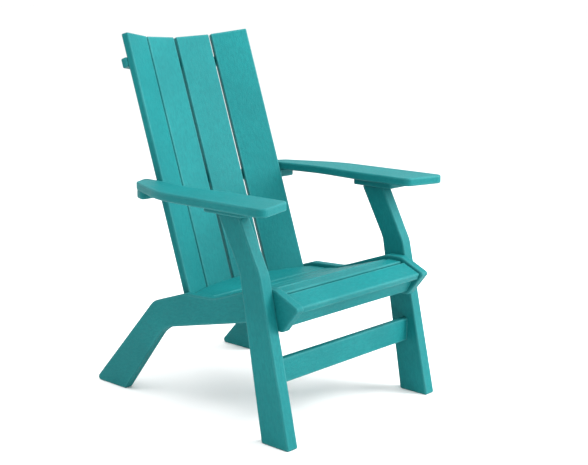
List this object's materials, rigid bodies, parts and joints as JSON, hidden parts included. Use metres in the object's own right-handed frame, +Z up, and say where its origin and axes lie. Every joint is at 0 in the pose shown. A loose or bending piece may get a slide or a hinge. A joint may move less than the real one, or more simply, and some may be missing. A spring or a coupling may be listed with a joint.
{
  "type": "adirondack chair",
  "caption": "Slatted garden armchair with a reclined fan back, contoured seat, broad flat arms and side rails that run on down as the rear legs.",
  "frame": {"origin": "on the ground, on the chair's plane of symmetry, halfway between the front of the front feet and the back of the rear feet", "axes": "+Z up, the sitter faces -Y, +X is the sitter's left"},
  "size_m": [0.7, 0.7618, 0.9653],
  "materials": {
    "poly_lumber": "solid-coloured turquoise poly lumber with a fine embossed grain",
    "stainless": "plain stainless steel"
  },
  "bodies": {
    "root": {"side_stringer_left": "poly_lumber", "side_stringer_right": "poly_lumber", "front_leg_left": "poly_lumber", "front_leg_right": "poly_lumber", "arm_left": "poly_lumber", "arm_right": "poly_lumber", "arm_block_left": "poly_lumber", "arm_block_right": "poly_lumber", "arm_crossbar": "poly_lumber", "back_slat_outer_left": "poly_lumber", "back_slat_inner_left": "poly_lumber", "back_slat_inner_right": "poly_lumber", "back_slat_outer_right": "poly_lumber", "upper_back_rail": "poly_lumber", "lower_back_rail": "poly_lumber", "seat_slat_front": "poly_lumber", "seat_slat_second": "poly_lumber", "seat_slat_third": "poly_lumber", "seat_slat_fourth": "poly_lumber", "seat_slat_fifth": "poly_lumber", "rear_seat_board": "poly_lumber", "front_apron": "poly_lumber", "front_stretcher": "poly_lumber", "seat_cleat_left": "poly_lumber", "seat_cleat_right": "poly_lumber", "leg_bolts": "stainless", "cleat_screws": "stainless", "seat_slat_screws": "stainless", "block_leg_screws": "stainless", "arm_block_screws": "stainless", "crossbar_arm_screws": "stainless", "upper_rail_screws": "stainless", "lower_rail_screws": "stainless", "pocket_screws": "stainless"}
  },
  "joints": []
}
